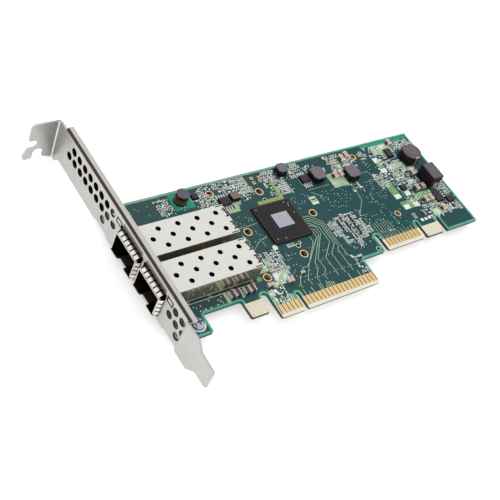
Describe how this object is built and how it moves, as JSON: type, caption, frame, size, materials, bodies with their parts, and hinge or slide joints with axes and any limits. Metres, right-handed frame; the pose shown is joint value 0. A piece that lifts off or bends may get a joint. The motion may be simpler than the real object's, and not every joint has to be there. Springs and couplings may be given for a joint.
{
  "type": "network interface card",
  "caption": "Computer expansion card with a slot bracket, pluggable network port cages, a bare controller chip and gold edge contacts.",
  "frame": {"origin": "centre of the edge connector's key notch, on the lower end of its contacts, at the board's component face", "axes": "+X along the board from the slot bracket to the tail, +Y from the edge connector up to the board's top edge, +Z out of the component face"},
  "size_m": [0.1819, 0.12, 0.0212],
  "materials": {
    "screw_steel": "bright",
    "solder": "tinned",
    "tan_ceramic": "matte",
    "grey_ceramic": "matte",
    "board": "semi-gloss solder mask",
    "bare_die": "polished silicon",
    "package_substrate": "satin",
    "ferrite": "satin",
    "copper_wire": "enamelled",
    "gold_back": "gold plated",
    "gold_front": "gold plated",
    "chip_epoxy": "matte",
    "grey_ferrite": "satin",
    "cage_metal": "bright nickel plated",
    "socket_contacts": "gold plated",
    "socket_plastic": "matte",
    "spring_metal": "bright",
    "bracket_steel": "nickel plated, satin",
    "choke_body": "satin",
    "round_choke_body": "satin",
    "gold_clip": "plated",
    "gold_side_back": "gold plated",
    "gold_side_front": "gold plated",
    "black_screen": "matte"
  },
  "bodies": {
    "root": {"bracket_screws": "screw_steel", "ceramic_capacitor_ends": "solder", "ceramic_capacitors": "tan_ceramic", "chip_leads": "solder", "chip_passive_ends": "solder", "chip_passives": "grey_ceramic", "circuit_board": "board", "controller_die": "bare_die", "controller_package": "package_substrate", "drum_core": "ferrite", "drum_winding": "copper_wire", "edge_contacts_back": "gold_back", "edge_contacts_front": "gold_front", "filter_capacitor_ends": "solder", "filter_capacitors": "grey_ceramic", "flat_chips": "chip_epoxy", "grey_choke": "grey_ferrite", "leaded_chips": "chip_epoxy", "lower_port_cage": "cage_metal", "lower_port_contacts": "socket_contacts", "lower_port_socket": "socket_plastic", "lower_port_springs": "spring_metal", "mounting_bracket": "bracket_steel", "power_choke_pads": "solder", "power_chokes": "choke_body", "round_choke": "round_choke_body", "round_choke_clips": "gold_clip", "side_contacts_back": "gold_side_back", "side_contacts_front": "gold_side_front", "tall_choke": "choke_body", "tall_choke_feet": "solder", "upper_port_cage": "cage_metal", "upper_port_contacts": "socket_contacts", "upper_port_socket": "socket_plastic", "upper_port_springs": "spring_metal", "vent_screen": "black_screen"}
  },
  "joints": []
}
